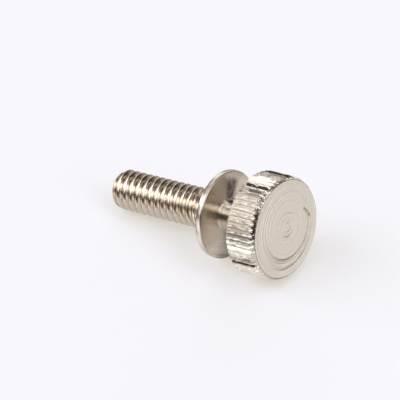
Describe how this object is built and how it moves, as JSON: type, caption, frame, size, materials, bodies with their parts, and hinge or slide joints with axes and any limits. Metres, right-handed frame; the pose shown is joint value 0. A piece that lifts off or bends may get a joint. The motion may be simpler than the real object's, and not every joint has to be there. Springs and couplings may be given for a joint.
{
  "type": "thumb screw",
  "caption": "Knurled thumb screw turned in one piece: straight-knurled head, slim neck, thin flat collar and a threaded shank with a chamfered tip.",
  "frame": {"origin": "centre of the head's flat end face, on the screw's axis", "axes": "+Z along the screw's axis from the head towards the tip of the thread; X and Y are square to it, each through the crest of a knurl tooth"},
  "size_m": [0.0162, 0.0162, 0.0325],
  "materials": {
    "nickel_plate": "bright nickel plate over a turned surface, with fine lathe rings on the end face"
  },
  "bodies": {
    "root": {"thumb_screw": "nickel_plate"}
  },
  "joints": []
}
